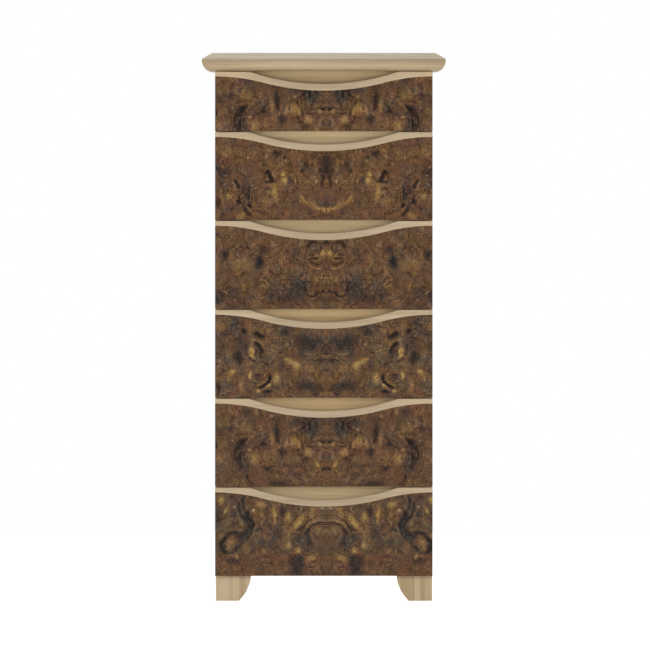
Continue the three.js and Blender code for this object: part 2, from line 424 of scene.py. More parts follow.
CRESCENT_LEAF = [
    eye(171, 141, 34, 40, 10), eye(84, 110, 30, 60, 6), eye(0, 140, 30, 30, 12),
    patch(50, 50, 58, 18, -12, -30), patch(250, 80, 20, 44, -9), patch(155, 112, 20, 16, -10),
    patch(204, 128, 22, 44, -14, -40, 4), arcs(208, 132, 20, 42, (153, 136), 3.4, 14, 4),
    stroke((191, 100), (203, 112), (203, 127), 8, -33), stroke((199, 122), (205, 146), (202, 166), 4, -25),
    stroke((210, 100), (215, 128), (208, 162), 4, -23), stroke((224, 118), (221, 143), (212, 168), 3, -15),
    patch(200, 100, 16, 7, -20, -20, 10), patch(193, 164, 12, 12, -10, -30),
    stroke((189, 170), (184, 192), (162, 208), 5, -23, -30),
    stroke((195, 172), (190, 196), (170, 212), 3, -12), patch(223, 72, 10, 12, -20, -30, -20),
    patch(190, 34, 16, 12, -12, -40), patch(167, 30, 6, 10, 22, 10), patch(196, 68, 16, 12, 10, 10, -20),
    patch(242, 56, 18, 18, 8, 20), patch(261, 113, 5, 8, -34, -20), patch(247, 112, 14, 14, 8),
    patch(252, 144, 9, 17, 18, 20, 10), patch(170, 143, 15, 17, 28, 10), patch(181, 123, 5, 5, 24),
    patch(140, 138, 9, 16, 12, 30, 10), patch(140, 165, 11, 9, -22, -40), patch(129, 100, 6, 18, 28, 20, 6),
    patch(122, 128, 8, 20, 14, 10, 6), patch(116, 70, 15, 32, -16, -50, 4),
    stroke((121, 60), (119, 84), (109, 112), 7, -20, -20), patch(102, 126, 14, 11, -26, -30, -20),
    stroke((132, 84), (146, 98), (158, 116), 4, -15), patch(92, 58, 5, 22, 8),
    patch(80, 102, 17, 17, 32, 10, 25), patch(95, 108, 6, 9, 20), patch(88, 98, 3, 9, -34, 0, -10),
    patch(64, 111, 4, 8, 30, 0, 10), patch(66, 124, 4, 7, -20, 0, 10),
    arcs(60, 100, 13, 26, (91, 125), 2.2, 19, -20), stroke((88, 76), (64, 96), (54, 128), 2.5, -16),
    stroke((54, 110), (42, 114), (28, 116), 4, -21), patch(42, 72, 32, 24, -14, -60),
    stroke((37, 48), (38, 62), (36, 78), 4, -21), stroke((51, 50), (54, 66), (49, 82), 3.5, -16),
    stroke((24, 50), (24, 64), (21, 76), 3.5, -15), patch(45, 84, 5, 12, 16, -20),
    patch(0, 79, 10, 18, 10, 10), patch(3, 84, 3, 8, -24), stroke((22, 92), (10, 102), (-8, 104), 4, -23),
    patch(14, 107, 8, 6, 24, 10, -20), stroke((0, 119), (12, 128), (4, 148), 2.5, 18),
    arcs(0, 136, 16, 24, (0, 112), 2.2, 16), patch(7, 166, 9, 4, -32), patch(39, 127, 14, 14, 32, 30, -30),
    patch(20, 158, 7, 18, 28, 30, 15), patch(48, 146, 12, 10, -12),
    arcs(112, 176, 28, 15, (60, 60), 2.6, 13), patch(114, 201, 26, 8, -24, -20),
    patch(70, 196, 20, 8, 5, 10), patch(226, 190, 30, 24, -5), patch(236, 204, 12, 7, 12, 30),
]

KNOT_LEAF = [
    eye(138, 151, 40, 20, 8), eye(222, 150, 30, 70, 5), eye(0, 135, 60, 20, 10),
    patch(124, 122, 28, 34, 14, 20), patch(246, 108, 26, 32, -8, -20), patch(6, 100, 18, 14, -12, -30),
    patch(4, 76, 17, 36, -24, -60), patch(10, 119, 6, 18, -28, -60), patch(0, 118, 5, 12, 12, -10),
    patch(6, 160, 14, 14, -6, -40), stroke((143, 88), (134, 104), (124, 119), 8, -43),
    stroke((150, 121), (134, 117), (113, 119), 5, -38), patch(126, 100, 6, 8, 12),
    patch(101, 109, 9, 17, 36, 40, 4), patch(106, 109, 4, 5, -14, 30), patch(121, 142, 7, 22, 34, 40, 4),
    patch(140, 162, 20, 16, 14, 20), patch(134, 141, 5, 6, 16, -20, 30),
    stroke((147, 138), (138, 132), (128, 142), 3, -20), patch(133, 148, 4, 5, -22, 30),
    arcs(164, 152, 24, 44, (138, 150), 2.6, 17, 6), arcs(140, 178, 30, 14, (138, 146), 2.8, 12),
    stroke((170, 118), (184, 150), (168, 188), 4, -16, -20), patch(190, 140, 14, 40, -14, -50, -8),
    stroke((219, 112), (210, 124), (203, 138), 7, -33), stroke((223, 117), (215, 128), (208, 140), 2.5, 26),
    patch(209, 163, 7, 11, -52, -30, -20), patch(198, 158, 6, 7, 12, 40), patch(199, 158, 2.5, 3.5, -30),
    stroke((206, 150), (196, 143), (190, 134), 4, -18), patch(230, 148, 9, 10, 26, 30, 20),
    patch(226, 146, 3, 3, -24), patch(238, 125, 6, 6, 18, -40),
    stroke((250, 132), (246, 160), (236, 184), 4, 14), arcs(236, 136, 16, 30, (216, 150), 2.6, 16),
    patch(181, 175, 5, 6, -40, -10), stroke((196, 172), (187, 190), (172, 204), 6, -25, -40),
    stroke((190, 168), (180, 186), (166, 198), 2.5, 16), patch(256, 165, 8, 22, -24, -50),
    patch(245, 196, 8, 10, -14, -20), patch(200, 199, 14, 9, 20, 20), patch(180, 52, 24, 20, 7, 30),
    patch(190, 58, 4, 6, -26), patch(186, 62, 3, 4, 30), patch(244, 46, 16, 18, 10, 20),
    patch(238, 98, 22, 14, -8, -20), patch(256, 84, 8, 20, -16, -50), patch(192, 90, 6, 12, 14),
    patch(134, 45, 10, 6, 16, 10, -20), patch(114, 50, 16, 8, -22, -60), patch(142, 58, 4, 6, 24, 0, -20),
    patch(98, 62, 4, 5, -30), patch(110, 78, 12, 12, 10, 30), patch(80, 48, 12, 6, 8, -20),
    patch(54, 84, 9, 14, -24, -50, -30), patch(36, 72, 14, 12, 6, 30),
    arcs(48, 124, 32, 26, (50, 96), 2.4, 24), patch(25, 116, 2.4, 10, 40, -20), patch(75, 116, 2.4, 9, 28),
    patch(62, 110, 4, 7, 16, 10, 20), patch(90, 122, 8, 20, -12, -40), patch(58, 158, 16, 9, 20, 20, -35),
    patch(34, 172, 24, 8, 20, 20, -25), patch(4, 182, 18, 7, 28, 20, -10), patch(4, 196, 22, 5, -14),
]

FACE_LEAF = [
    eye(31, 61, 16, 120, 8), eye(41, 157, 14, 60, 8), eye(0, 118, 60, 0, 10),
    patch(96, 178, 46, 48, -11, -30), patch(0, 176, 30, 34, -8), patch(216, 178, 50, 34, -5),
    arcs(24, 92, 30, 30, (24, 82), 2.6, 20), arcs(0, 130, 20, 34, (0, 60), 3.0, 10),
    patch(31, 62, 7, 9, 2, -60), stroke((41, 70), (37, 52), (17, 58), 6, -34),
    stroke((20, 54), (14, 62), (17, 72), 4, -18), stroke((36, 86), (28, 90), (20, 86), 4, -28),
    stroke((42, 84), (30, 101), (8, 95), 3.5, -26), stroke((38, 92), (28, 96), (14, 90), 2.2, 18),
    stroke((44, 96), (26, 112), (4, 106), 2.6, 20, -30), patch(8, 76, 12, 11, 36, 30),
    patch(0, 51, 11, 7, -32, -40), stroke((9, 156), (7, 136), (0, 122), 2.4, -20),
    stroke((4, 152), (3, 138), (-3, 130), 2.2, 20), arcs(41, 158, 12, 15, (41, 158), 2.6, 24),
    patch(24, 138, 5, 14, 14, -10, 4), patch(8, 131, 3, 12, 14),
    stroke((46, 146), (51, 158), (44, 171), 3.5, -20), patch(60, 142, 8, 15, 16, -30, -30),
    stroke((47, 148), (40, 143), (33, 152), 3, -23), stroke((33, 150), (32, 160), (40, 168), 2.4, -16),
    patch(40, 158, 3, 5, -24, -30), stroke((49, 170), (36, 178), (18, 161), 5, -30),
    stroke((40, 182), (24, 180), (12, 168), 2.4, 20), stroke((2, 164), (8, 165), (15, 174), 4.5, -28),
    patch(157, 97, 12, 17, -36, -50, -14), patch(150, 70, 14, 14, -14, -60),
    patch(240, 80, 9, 17, -26, -70), patch(202, 98, 27, 18, 20, 30), patch(198, 102, 10, 6, -10, 20),
    patch(214, 122, 12, 5, 14, 30), patch(258, 104, 7, 30, 18, 30), patch(106, 92, 18, 12, 16, 30, 30),
    patch(114, 94, 4, 4, -20), patch(126, 56, 5, 8, 20, -50), arcs(120, 60, 12, 12, (121, 57), 2.0, 22),
    patch(96, 116, 4, 3.5, 36, 20), patch(64, 158, 24, 32, -15, -90), patch(88, 96, 12, 16, 2, -30),
    patch(74, 78, 7, 20, -12, -20, -10), patch(62, 54, 8, 10, 12, 10, -40), patch(144, 147, 12, 15, 12, 40),
    patch(165, 146, 8, 20, -12, -20), patch(113, 150, 6, 24, 8, -40), patch(170, 194, 24, 9, 12, 40),
    patch(194, 160, 8, 30, 8, 20, 12), patch(254, 178, 12, 24, -18, -70), patch(222, 176, 22, 22, -6, -30),
    arcs(216, 186, 14, 12, (217, 187), 2.2, 19), patch(196, 58, 12, 12, -6, -20), patch(224, 62, 8, 9, -12),
    patch(176, 58, 8, 10, 10, 20), patch(130, 180, 14, 12, -6, -50), patch(0, 194, 40, 12, -2, 30),
]

ALMOND_LEAF = [
    eye(165, 91, 24, 30, 6), eye(154, 156, 30, 40, 8), patch(26, 72, 44, 30, -7, -40),
    patch(250, 92, 16, 26, -12), patch(92, 44, 24, 20, -10, -20), patch(176, 100, 6.5, 20, 44, 80, 2),
    patch(175, 70, 6, 6, 18, 20), patch(160, 98, 9, 15, -6, -10, 20),
    stroke((174, 74), (156, 89), (147, 110), 6, -41), stroke((182, 70), (160, 76), (142, 102), 3, 18),
    stroke((187, 113), (177, 117), (166, 125), 4, -33), stroke((187, 76), (190, 94), (188, 112), 2.5, -15),
    stroke((134, 130), (128, 124), (124, 116), 5, -21, -30), arcs(136, 112, 26, 26, (150, 156), 2.6, 14),
    stroke((132, 148), (138, 172), (166, 186), 7, -44), stroke((136, 154), (142, 168), (160, 178), 2.5, 22),
    stroke((128, 158), (136, 180), (156, 192), 3, 20), stroke((172, 130), (152, 124), (134, 138), 3, -20),
    patch(162, 144, 8, 6, 8, -10), patch(160, 158, 9, 10, -16, -20),
    arcs(156, 158, 18, 24, (160, 160), 2.4, 13), patch(179, 154, 4.5, 13, 42, 90),
    patch(180, 128, 6, 6, 10), patch(133, 179, 8, 6, 34, 50, 20), patch(117, 162, 11, 14, 28, 60),
    arcs(117, 162, 14, 16, (120, 150), 1.8, 17), patch(160, 192, 10, 5, 28, 70, -15),
    patch(138, 195, 12, 5, -44, -30, 15), stroke((170, 49), (159, 60), (143, 68), 9, -43, -30),
    stroke((226, 52), (208, 30), (192, 46), 4, -20, -30), stroke((226, 50), (214, 66), (198, 58), 3, -15),
    patch(197, 50, 5, 8, -38, -50, 20), patch(209, 47, 9, 12, 2, -60), patch(180, 42, 9, 14, 10, 40),
    patch(134, 52, 12, 16, 10, 20), patch(210, 112, 13, 18, -26, -60, 20), patch(206, 84, 20, 26, -10, -40),
    patch(232, 100, 10, 20, 6, -10), patch(77, 128, 25, 10, 42, 60, -34),
    patch(96, 117, 8, 3.5, 14, 30, -20), patch(40, 138, 12, 12, 18, 30, -20),
    stroke((118, 106), (104, 114), (92, 112), 2.4, -18), patch(46, 78, 44, 18, -16, -60, -8),
    patch(100, 54, 14, 8, -14, -50), patch(10, 60, 20, 8, 6, -10), patch(0, 98, 8, 14, -18, -20),
    stroke((34, 122), (16, 120), (-8, 121), 4, -26), patch(30, 104, 20, 8, 6, 10),
    patch(32, 184, 34, 14, -18, -50, -6), patch(62, 184, 14, 14, -12, -50), patch(8, 160, 24, 14, 6, 30),
    patch(128, 92, 15, 18, 16, 20), arcs(128, 90, 14, 16, (132, 84), 1.8, 16),
    patch(104, 134, 12, 16, -12, -30), patch(225, 149, 8, 17, 32, 40, -36),
    patch(200, 182, 8, 20, 30, 30, 4), arcs(222, 178, 22, 24, (262, 176), 2.4, 17),
    patch(256, 184, 7, 20, -28, -40), patch(252, 128, 7, 20, 18, 10, -10), patch(250, 164, 6, 12, 12, 20),
    patch(252, 40, 12, 20, 12, 30), patch(240, 62, 14, 14, -10, -20), patch(112, 196, 14, 8, 6, 20),
]

ARCH_LEAF = [
    eye(0, 126, 60, 0, 16), eye(228, 132, 26, 40, 8), patch(34, 64, 46, 20, 11, 40),
    patch(156, 66, 20, 22, 10, 30), patch(250, 72, 14, 20, -10),
    stroke((199, 12), (200, 36), (198, 66), 14, -4, -50),
    stroke((199, 56), (186, 76), (180, 104), 15, -5, -50),
    stroke((178, 84), (192, 112), (222, 122), 17, -8, -50),
    stroke((184, 108), (204, 130), (222, 150), 12, -4, -50),
    stroke((194, 12), (196, 38), (194, 62), 5, -21), stroke((196, 50), (181, 70), (175, 96), 7, -30),
    stroke((175, 82), (179, 108), (196, 128), 5, -18), stroke((190, 120), (206, 138), (226, 153), 4, -16),
    stroke((204, 30), (204, 60), (195, 78), 5, -26), stroke((200, 66), (187, 82), (185, 100), 5, -25),
    stroke((184, 90), (194, 107), (220, 111), 9, -21), stroke((205, 107), (232, 111), (243, 134), 9, -30),
    stroke((239, 116), (248, 142), (232, 158), 9, -30), stroke((242, 152), (230, 157), (216, 149), 6, -23),
    patch(213, 104, 16, 7, -8, -40), patch(228, 135, 10, 11, 18, 20),
    arcs(162, 96, 26, 40, (236, 84), 2.8, 17), stroke((163, 58), (160, 82), (148, 112), 4, -15, -20),
    patch(218, 48, 10, 30, -6, -40), patch(257, 66, 6, 32, -18, -60), patch(236, 86, 14, 14, 8),
    patch(155, 39, 13, 13, 34, 60, -20), patch(172, 55, 5, 5, 30, -30),
    arcs(172, 55, 11, 11, (173, 55), 2.0, 17), patch(247, 29, 9, 12, 38, 70, -20),
    patch(236, 53, 6, 13, 30, 70, -30), patch(247, 114, 6, 6, 28, 30), patch(229, 100, 10, 6, 12, 20),
    patch(123, 70, 5.5, 25, 36, 70), patch(103, 61, 10, 13, -22, -40), patch(140, 60, 9, 18, -12),
    patch(134, 60, 6, 14, 10), patch(90, 71, 9, 14, 34, 70, -20), patch(70, 86, 10, 28, 34, 60, -34),
    patch(88, 112, 8, 10, 16, 30), patch(52, 55, 8, 8, -14, -30), patch(58, 50, 3, 6, 36, -20),
    patch(34, 53, 8, 7, 20, 40), patch(98, 108, 7, 34, 12, 10), patch(89, 136, 8, 17, 32, 60, -12),
    patch(65, 149, 11, 9, 46, 100), arcs(30, 84, 46, 34, (0, 128), 2.8, 26),
    stroke((52, 96), (30, 82), (-8, 79), 4, 22), stroke((52, 108), (30, 90), (-8, 86), 4, -20),
    stroke((74, 106), (56, 92), (38, 66), 4, -21), stroke((54, 118), (44, 104), (28, 98), 6, -21, -30),
    patch(62, 122, 12, 11, -4, -70), patch(42, 122, 8, 18, -22, -50, 10), patch(16, 104, 18, 10, 18, 20),
    patch(30, 118, 5, 7, 12), patch(46, 148, 6, 8, -14, -30), patch(8, 49, 14, 4, 34),
    patch(6, 64, 18, 8, -8, 10), patch(122, 118, 20, 36, -6, -40), patch(150, 126, 12, 12, -10, -30),
    patch(148, 150, 14, 8, 16, 30), patch(174, 150, 10, 12, -10, -50), patch(192, 146, 8, 14, 14, 20),
]

ARCH_SKIRT = [
    eye(228, 190, 26, 30, 10), patch(38, 167, 20, 9, 32, 30), arcs(30, 192, 22, 14, (36, 176), 2.4, 17),
    patch(70, 184, 21, 40, -21, -100), patch(128, 182, 8, 14, -14, -50),
    stroke((126, 166), (150, 164), (168, 170), 5, -14, -40), arcs(150, 178, 40, 24, (120, 120), 2.8, 16),
    patch(222, 172, 18, 8, -22, -60), patch(244, 186, 14, 12, 8), patch(212, 163, 8, 6, 20, 40),
]

# The lowest drawer's front has a second strip of veneer below here
SKIRT_AT, SKIRT_DEPTH, SKIRT_REDNESS = 157, 260, 0.3

# Leaf, how far down it was laid, the depth of the cut through the burr, and how reddish it is
LEAVES = {
    1: (CRESCENT_LEAF, 13.5, 310, 0.10),
    2: (KNOT_LEAF, 0, 520, 0.20),
    3: (FACE_LEAF, 0, 730, 0.11),
    4: (ALMOND_LEAF, 0, 940, -0.02),
    5: (CRESCENT_LEAF, 0, 310, 0.16),
    6: (ARCH_LEAF, 0, 150, -0.07),
}

# Colours of the burr from dark to light, in its grey, its golden and its reddish parts
GREY_TONES = [(0.0, (27, 23, 21)), (0.11, (43, 37, 33)), (0.22, (57, 49, 43)), (0.37, (80, 69, 58)),
              (0.53, (106, 90, 70)), (0.73, (138, 118, 88)), (1.0, (168, 150, 114))]
GOLD_TONES = [(0.0, (33, 22, 10)), (0.11, (52, 37, 19)), (0.22, (72, 51, 29)), (0.37, (98, 71, 42)),
              (0.53, (127, 95, 54)), (0.73, (158, 126, 69)), (1.0, (190, 160, 89))]
RED_TONES = [(0.0, (34, 21, 13)), (0.11, (54, 35, 23)), (0.22, (73, 48, 34)), (0.37, (101, 66, 47)),
             (0.53, (128, 87, 60)), (0.73, (154, 111, 74)), (1.0, (183, 141, 94))]
SHEEN = 0.004  # what the lacquer's reflections add to the tones above


# How the wood wanders: about every so many millimetres, over how many, and how much detail that has
CALM_BEND, CLOSE_BEND, SWIRL_BEND = (36, 11, 1.0), (11, 8, 2.0), (24, 26, 1.0)
# Sizes in millimetres of what the burr is made of: outwards, down and into the wood
FIELD_SIZE, VEIN_SIZE, MOTTLE_SIZE = (55, 75, 60), (22, 26, 20), (16, 19, 15)
FLECK_SIZE, STREAK_SIZE, FINE_SIZE = (9, 13, 9), (3.6, 10, 9), (2.6, 3.2, 2)
BROAD_HUE_SIZE, CLOSE_HUE_SIZE = (34, 34, 34), (6, 11, 8)

# How strongly each texture shows in the plain burr, and its mean tone but for veins and sparks
STREAK_WEIGHT, CONTOUR_WEIGHT, MOTTLE_WEIGHT, FINE_WEIGHT = 0.28, 0.46, 0.50, 0.42
VEIN_WEIGHT, SPARK_WEIGHT = -0.12, 0.36
BURR_TONE = 0.403
CONTOURS = 30  # how close the contours are
VEIN_WIDTH = 0.035
SPARK_EDGE, SPARK_GROUND = (0.24, 0.06), (0.42, 0.58)  # sparks lie in flecks, where the mottle is light
WINDOW_EDGE = (1.3, 0.1)  # a soft ellipse fades between these shares of its size
ARC_EDGE = (0.3, 0.7)  # the noise's range over which an arc goes from dark to light

# How much the two hue noises count, and what is taken off for the golden and the reddish part
BROAD_HUE, CLOSE_HUE = 2.1, 1.6
GOLD_LEVEL, RED_LEVEL = 1.50, 1.38
RED_LOSS = 0.4  # a greyer mark takes this share of what it takes off the gold off the red too

# The streaks' share in a mark's strength, where they are weakest and where they are strongest
GOLDEN_GRAIN, DARK_GRAIN = (-0.2, 2.2), (0.3, 1.7)

# A stroke reaches its full width this far from its ends, as a share of its middle's height over them
TAPER = 0.75
# Half of a stroke's width, as shares of its width: what the streaks add, and what is there without them
FRAY, FRAY_LEAST = 0.8, 0.15
# How soft a stroke's edge is: a share of its width on both sides, and millimetres outwards and inwards
EDGE_SHARE, EDGE_OUT, EDGE_IN = 0.45, 0.9, 0.6

PER_METRE = 1000  # millimetres
FLAT = 1e6  # a scale along which the third number counts for nothing


def circle_through(a, b, c):
    """Centre and radius of the circle through three points of a plane."""
    (ax, ay), (bx, by), (cx, cy) = a, b, c
    twice_area = 2 * (ax * (by - cy) + bx * (cy - ay) + cx * (ay - by))
    squares = [x * x + y * y for x, y in (a, b, c)]
    x = (squares[0] * (by - cy) + squares[1] * (cy - ay) + squares[2] * (ay - by)) / twice_area
    y = (squares[0] * (cx - bx) + squares[1] * (ax - cx) + squares[2] * (bx - ax)) / twice_area
    return (x, y), math.hypot(ax - x, ay - y)


class Burl:
    """The figure of one leaf: its tone and its colour at a spot (u, v, depth) in millimetres."""

    def __init__(self, graph, spot, marks, redness):
        self.graph = graph
        self.marks = marks
        self.calm = self.wander(spot, *CALM_BEND)
        self.spot = self.wander(self.calm, *CLOSE_BEND)
        self.swirl()
        self.texture()
        self.tone = self.ground()
        self.gold, self.red = self.hue(redness)
        self.calm_at = self.across_leaf(self.calm)
        self.spot_at = self.across_leaf(self.spot)
        draw = {"patch": self.add_patch, "stroke": self.add_stroke, "arcs": self.add_arcs}
        for kind, *values in marks:
            if kind in draw:
                draw[kind](*values)

    def wander(self, spot, size, reach, detail):
        """Moves the spot about, so that what is drawn with it bends every `size` millimetres."""
        graph = self.graph
        drift = graph.noise_vector(graph.cells(spot, (size,) * 3), detail)
        drift = graph.vector("SCALE", graph.vector("SUBTRACT", drift, (0.5, 0.5, 0.5)), scale=reach)
        return graph.vector("ADD", spot, drift)

    def swirl(self):
        """Turns the wood round each eye and builds the field whose contours ring the eyes."""
        graph = self.graph
        turned = self.wander(self.spot, *SWIRL_BEND)
        field = graph.noise(graph.cells(turned, FIELD_SIZE), detail=1.0)
        for _, u, v, radius, turn, rings in [m for m in self.marks if m[0] == "eye"]:
            away = graph.vector("LENGTH", graph.vector(
                "MULTIPLY", graph.vector("SUBTRACT", self.calm, (u, v, 0)), (1, 1, 0)))
            near = graph.remap(away, radius, 0)
            turned = graph.add("ShaderNodeVectorRotate", {"rotation_type": "Z_AXIS"}, Vector=turned,
                               Center=(u, v, 0), Angle=graph.math("MULTIPLY", near, math.radians(turn)))
            turned = turned.outputs[0]
            field = graph.math("MULTIPLY_ADD", near, rings, field)
        self.turned, self.field = turned, field

    def texture(self):
        """Fine streaks, contours round the eyes, and mottle."""
        graph = self.graph
        self.streak = graph.noise(graph.cells(self.turned, STREAK_SIZE), detail=3.0,
                                  roughness=0.6, distortion=0.3)
        self.contour = graph.noise_1d(self.field, scale=CONTOURS, detail=3.0, roughness=0.65)
        self.mottle = graph.noise(graph.cells(self.turned, MOTTLE_SIZE), detail=4.0,
                                  roughness=0.62, distortion=0.8)

    def ground(self):
        """Tone of the plain burr, before the marks."""
        graph = self.graph
        fine = graph.noise(graph.cells(self.spot, FINE_SIZE), detail=2.0, roughness=0.6)
        fleck = graph.add("ShaderNodeTexVoronoi", Vector=graph.cells(self.turned, FLECK_SIZE),
                          Randomness=1.0, Scale=1.0).outputs["Distance"]
        vein = graph.noise(graph.cells(self.turned, VEIN_SIZE, (3, 5, 7)), detail=2.0)
        vein = graph.remap(graph.math("ABSOLUTE", graph.math("SUBTRACT", vein, 0.5)), VEIN_WIDTH, 0.0)
        woven = ((self.streak, STREAK_WEIGHT), (self.contour, CONTOUR_WEIGHT),
                 (self.mottle, MOTTLE_WEIGHT), (fine, FINE_WEIGHT))
        tone = BURR_TONE - 0.5 * sum(weight for _, weight in woven)
        for texture, weight in (*woven, (vein, VEIN_WEIGHT)):
            tone = graph.math("MULTIPLY_ADD", texture, weight, tone)
        spark = graph.math("MULTIPLY", graph.remap(fleck, *SPARK_EDGE),
                           graph.remap(self.mottle, *SPARK_GROUND))
        return graph.math("MULTIPLY_ADD", spark, SPARK_WEIGHT, tone)

    def hue(self, redness):
        """How golden and how reddish the plain burr is, each from 0 to 1; the rest is grey."""
        graph = self.graph
        broad = graph.noise_vector(graph.cells(self.spot, BROAD_HUE_SIZE))
        close = graph.noise_vector(graph.cells(self.turned, CLOSE_HUE_SIZE))
        parts = graph.vector("ADD", graph.vector("SCALE", broad, scale=BROAD_HUE),
                             graph.vector("SCALE", close, scale=CLOSE_HUE))
        gold, red, _ = graph.split(parts)
        return graph.math("SUBTRACT", gold, GOLD_LEVEL), graph.math("SUBTRACT", red, RED_LEVEL - redness)

    def across_leaf(self, spot):
        return self.graph.split(spot)[:2]

    def after_last(self, place):
        """The place (u, v), with the tone so far as a third number that no mark uses.

        It makes the marks wait for each other: a material can only hold so many at a time."""
        return self.graph.join(*place, self.tone)

    def window(self, u, v, wide, tall, tilt):
        """1 in the middle of a soft ellipse, 0 outside it."""
        graph = self.graph
        inside = graph.add("ShaderNodeMapping", {"vector_type": "TEXTURE"},
                           Vector=self.after_last(self.spot_at), Location=(u, v, 0),
                           Rotation=(0, 0, math.radians(tilt)), Scale=(wide, tall, FLAT)).outputs[0]
        return graph.remap(graph.vector("LENGTH", inside), *WINDOW_EDGE)

    def from_centre(self, centre):
        offset = self.graph.vector("SUBTRACT", self.after_last(self.calm_at), (*centre, 0))
        return self.graph.vector("MULTIPLY", offset, (1, 1, 0))

    def tint(self, share, warmth):
        """Makes the wood more golden, or greyer where warmth is below 0."""
        if warmth:
            self.gold = self.graph.math("MULTIPLY_ADD", share, warmth, self.gold)
        if warmth < 0:
            self.red = self.graph.math("MULTIPLY_ADD", share, warmth * RED_LOSS, self.red)

    def add_patch(self, u, v, wide, tall, tilt, tone, warmth):
        """A soft elliptical patch, broken up by the streaks."""
        graph = self.graph
        share = self.window(u, v, wide, tall, tilt)
        grain = graph.spread(self.streak, *(GOLDEN_GRAIN if tone > 0 else DARK_GRAIN))
        self.tone = graph.math("MULTIPLY_ADD", graph.math("MULTIPLY", share, grain), tone, self.tone)
        self.tint(share, warmth)

    def add_arcs(self, u, v, wide, tall, tilt, centre, spacing, tone):
        """Uneven concentric arcs that show through a soft elliptical window."""
        graph = self.graph
        share = self.window(u, v, wide, tall, tilt)
        away = graph.vector("LENGTH", self.from_centre(centre))
        lines = graph.remap(graph.noise_1d(away, scale=1 / spacing, detail=1.0), *ARC_EDGE, -tone, tone)
        self.tone = graph.math("MULTIPLY_ADD", share, lines, self.tone)

    def add_stroke(self, start, middle, end, width, tone, warmth):
        """An arc that tapers towards both ends."""
        graph = self.graph
        centre, radius = circle_through(start, middle, end)
        aim = ((start[0] + end[0]) / 2 - centre[0], (start[1] + end[1]) / 2 - centre[1])
        reach = math.hypot(*aim)
        side = 1 if (middle[0] - centre[0]) * aim[0] + (middle[1] - centre[1]) * aim[1] > 0 else -1
        aim = (side * aim[0] / reach, side * aim[1] / reach, 0)
        level = side * reach / radius
        away = self.from_centre(centre)
        turned_by = graph.vector("DOT_PRODUCT", graph.vector("NORMALIZE", away), aim)
        off = graph.math("ABSOLUTE", graph.math("SUBTRACT", graph.vector("LENGTH", away), radius))
        along = graph.remap(turned_by, level, level + TAPER * (1 - level))
        frayed = graph.math("MULTIPLY_ADD", self.streak, width * FRAY, width * FRAY_LEAST)
        room = graph.math("SUBTRACT", graph.math("MULTIPLY", along, frayed), off)
        share = graph.remap(room, -EDGE_SHARE * width - EDGE_OUT, EDGE_SHARE * width + EDGE_IN)
        share = graph.math("MULTIPLY", share, along)
        self.tone = graph.math("MULTIPLY_ADD", share, tone, self.tone)
        self.tint(share, warmth)


def burl_tones(graph, tones, value):
    """The colours that a row of tones has under its lacquer, looked up by value."""
    return graph.ramp(value, [
        (at, tuple(max(part - SHEEN, 0.0) for part in srgb(*colour)[:3]) + (1.0,)) for at, colour in tones])


def burl_veneer(number, top):
    marks, shift, depth, redness = LEAVES[number]
    material, graph = new_material(f"burl veneer {number}")
    x, y, z = graph.split(graph.object_place())
    out = graph.math("ABSOLUTE", graph.math("SUBTRACT", x, BOOKMATCH_X))
    spot = graph.join(graph.math("MULTIPLY", out, PER_METRE),
                      graph.math("MULTIPLY_ADD", z, -PER_METRE, top * PER_METRE + shift),
                      graph.math("MULTIPLY_ADD", y, PER_METRE, depth))
    figure = Burl(graph, spot, marks, redness)
    tone, gold, red = figure.tone, figure.gold, figure.red
    if number == DRAWERS[-1]:
        skirt = Burl(graph, graph.vector("ADD", spot, (0, 0, SKIRT_DEPTH)), ARCH_SKIRT, SKIRT_REDNESS)
        below = graph.math("GREATER_THAN", graph.split(spot)["Y"], SKIRT_AT)
        pairs = ((tone, skirt.tone), (gold, skirt.gold), (red, skirt.red))
        tone, gold, red = (graph.add("ShaderNodeMix", Factor=below, A=upper, B=lower).outputs[0]
                           for upper, lower in pairs)
    colour = graph.blend(red, burl_tones(graph, GREY_TONES, tone), burl_tones(graph, RED_TONES, tone))
    colour = graph.blend(gold, colour, burl_tones(graph, GOLD_TONES, tone))
    shader = graph.shader(roughness=0.22, specular=0.25)
    graph.feed(shader.inputs["Base Color"], colour)
    graph.feed(shader.inputs["Roughness"], graph.remap(figure.streak, 0.3, 0.7, 0.20, 0.25, smooth=False))
    graph.feed(shader.inputs["Normal"], graph.bump(figure.streak, 0.15, 0.2 * MM))
    return material


# ---- mesh helpers

def mesh_object(name, vertices, faces, material):
    mesh = bpy.data.meshes.new(name)
    mesh.from_pydata(vertices, [], faces)
    obj = bpy.data.objects.new(name, mesh)
    bpy.context.scene.collection.objects.link(obj)
    mesh.materials.append(material)
    work = bmesh.new()
    work.from_mesh(mesh)
    bmesh.ops.recalc_face_normals(work, faces=work.faces)
    work.to_mesh(mesh)
    work.free()
    return obj


SHARP = math.radians(25)

# How wide the softened edges are
EDGE, FOOT_EDGE = 0.8 * MM, 1.0 * MM
VENEER_EDGE = 0.35 * MM
PLY_EDGE, THIN_PLY_EDGE = 0.4 * MM, 0.3 * MM


def soften(obj, width=EDGE, where=None):
    """Rounds the sharp edges whose middles pass `where`, and shades the rest smoothly."""
    mesh = obj.data
    work = bmesh.new()
    work.from_mesh(mesh)
    layer = work.edges.layers.float.new("bevel_weight_edge")
    for e in work.edges:
        middle = (e.verts[0].co + e.verts[1].co) / 2
        if e.calc_face_angle(0) > SHARP and (where is None or where(middle)):
            e[layer] = 1.0
    for face in work.faces:
        face.smooth = True
    work.to_mesh(mesh)
    work.free()
    mesh.set_sharp_from_angle(angle=SHARP)
    bevel = obj.modifiers.new("softened edges", "BEVEL")
    bevel.limit_method = "WEIGHT"
    bevel.width = width
    bevel.segments = 2
    bevel.harden_normals = True


